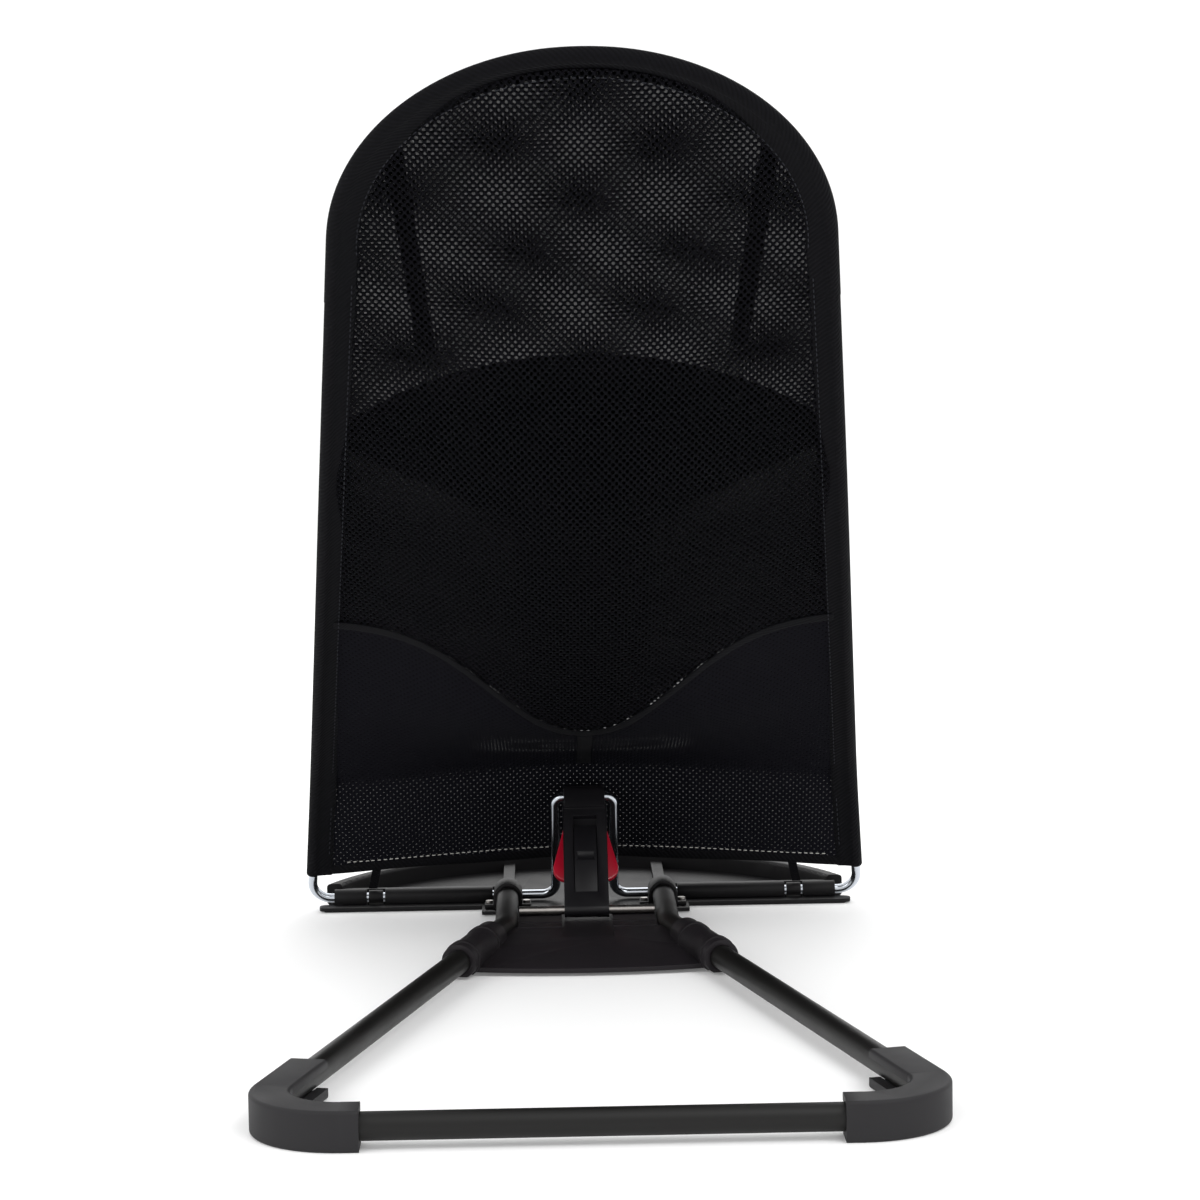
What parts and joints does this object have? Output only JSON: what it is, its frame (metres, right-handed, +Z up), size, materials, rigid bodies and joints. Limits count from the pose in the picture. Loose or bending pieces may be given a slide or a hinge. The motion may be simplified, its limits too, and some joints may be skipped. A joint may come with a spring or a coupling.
{
  "type": "bouncer seat",
  "caption": "Baby bouncer seat: mesh fabric on a springy wire frame that pivots on a low tube base, held up by a folding prop with a squeeze release.",
  "frame": {"origin": "on the floor, at the middle of the base's outline in plan", "axes": "+Z up, +X across the seat, +Y from the foot end towards the head end"},
  "size_m": [0.3894, 0.79, 0.5601],
  "materials": {
    "tube_paint": "satin black powder coat",
    "foot_rubber": "matte",
    "tray_plastic": "fine grain",
    "deck_plastic": "fine grain",
    "bright_wire": "bright",
    "screw_steel": "plain",
    "release_red": "satin",
    "mesh_cloth": "open knit mesh",
    "binding_cloth": "woven tape",
    "flap_cloth": "padded knit"
  },
  "bodies": {
    "base": {"base_tube": "tube_paint", "corner_foot_left": "foot_rubber", "corner_foot_right": "foot_rubber", "front_tray": "tray_plastic", "tray_grips": "foot_rubber", "tube_clamps": "tray_plastic", "clamp_screws": "screw_steel", "run_cover_left": "tray_plastic", "run_cover_right": "tray_plastic", "prop_deck": "deck_plastic"},
    "crank": {"crank_wire": "bright_wire"},
    "prop": {"prop_strut": "tray_plastic", "foot_rod": "bright_wire"},
    "release": {"release_wings": "release_red", "release_pad": "deck_plastic"},
    "seat": {"seat_wire": "bright_wire", "head_casing": "binding_cloth", "side_casing_left": "binding_cloth", "side_casing_right": "binding_cloth", "back_panel": "mesh_cloth", "back_lining": "mesh_cloth", "leg_panel": "mesh_cloth", "pouch_seam": "binding_cloth", "leg_seam": "binding_cloth", "hem_binding": "binding_cloth", "hem_straps": "binding_cloth", "strap_clips": "tray_plastic", "restraint_flap": "flap_cloth", "flap_buttons": "tray_plastic"}
  },
  "joints": [
    {"name": "seat_recline", "type": "hinge", "parent": "base", "child": "crank", "pos_m": [0, -0.262, 0.0075], "axis": [1, 0, 0], "range_deg": [-37, 0]},
    {"name": "prop_fold", "type": "hinge", "parent": "crank", "child": "prop", "pos_m": [0, -0.22209, 0.08255], "axis": [1, 0, 0], "range_deg": [0, 66.4]},
    {"name": "release_squeeze", "type": "slide", "parent": "prop", "child": "release", "axis": [0, -0.6847, 0.7288], "range_m": [0, 0.006], "stiffness_N_per_m": 600, "springref_m": -0.003},
    {"name": "seat_bounce", "type": "hinge", "parent": "crank", "child": "seat", "pos_m": [0, -0.262, 0.0075], "axis": [1, 0, 0], "range_deg": [-2.8, 2.8], "stiffness_Nm_per_rad": 90, "springref_deg": 0.22}
  ],
  "couplings": [
    {"joint": "prop_fold", "follows": "seat_recline", "ratio": -1.7894}
  ]
}
